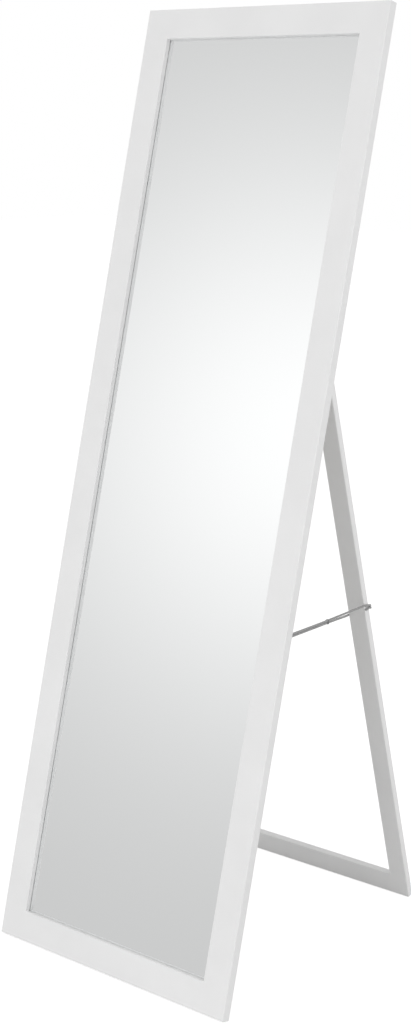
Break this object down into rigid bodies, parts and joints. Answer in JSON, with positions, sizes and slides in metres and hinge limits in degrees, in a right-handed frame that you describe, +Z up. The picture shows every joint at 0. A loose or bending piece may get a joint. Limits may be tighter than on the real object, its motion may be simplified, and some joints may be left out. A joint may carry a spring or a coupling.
{
  "type": "cheval floor mirror",
  "caption": "Full-length mirror in a narrow white frame, leaning back on a hinged easel stand that a tied cord holds open.",
  "frame": {"origin": "on the floor, at the middle of the ground that the standing mirror and its open stand cover", "axes": "+Z up, front of the mirror towards -Y, stand behind towards +Y, +X across to the viewer's right"},
  "size_m": [0.5, 0.5942, 1.5536],
  "materials": {
    "white_lacquer": "wood board in white satin lacquer",
    "mirror": "silvered float glass",
    "hardboard": "hardboard with a pale grey face",
    "zinc_steel": "bright zinc-plated steel",
    "cord": "twisted grey cord"
  },
  "bodies": {
    "mirror": {"frame_left_stile": "white_lacquer", "frame_right_stile": "white_lacquer", "frame_top_rail": "white_lacquer", "frame_bottom_rail": "white_lacquer", "corner_v_nails": "zinc_steel", "mirror_glass": "mirror", "backing_board": "hardboard", "backing_points": "zinc_steel", "hinge_rail": "white_lacquer", "hinge_rail_screws": "zinc_steel", "left_hinge_frame_leaf": "zinc_steel", "right_hinge_frame_leaf": "zinc_steel", "left_hinge_pin": "zinc_steel", "right_hinge_pin": "zinc_steel", "frame_leaf_screws": "zinc_steel", "cord_screw_eye": "zinc_steel", "stay_cord": "cord", "stay_cord_knot": "cord"},
    "stand": {"stand_left_stile": "white_lacquer", "stand_right_stile": "white_lacquer", "stand_top_bar": "white_lacquer", "stand_bottom_bar": "white_lacquer", "left_hinge_stand_leaf": "zinc_steel", "right_hinge_stand_leaf": "zinc_steel", "stand_leaf_screws": "zinc_steel", "stay_cord_loop": "cord"}
  },
  "joints": [
    {"name": "stand_fold", "type": "hinge", "parent": "mirror", "child": "stand", "pos_m": [0, 0.01232, 1.07243], "axis": [-1, 0, 0], "range_deg": [0, 29.4], "deforming": ["stay_cord", "stay_cord_knot"]}
  ]
}
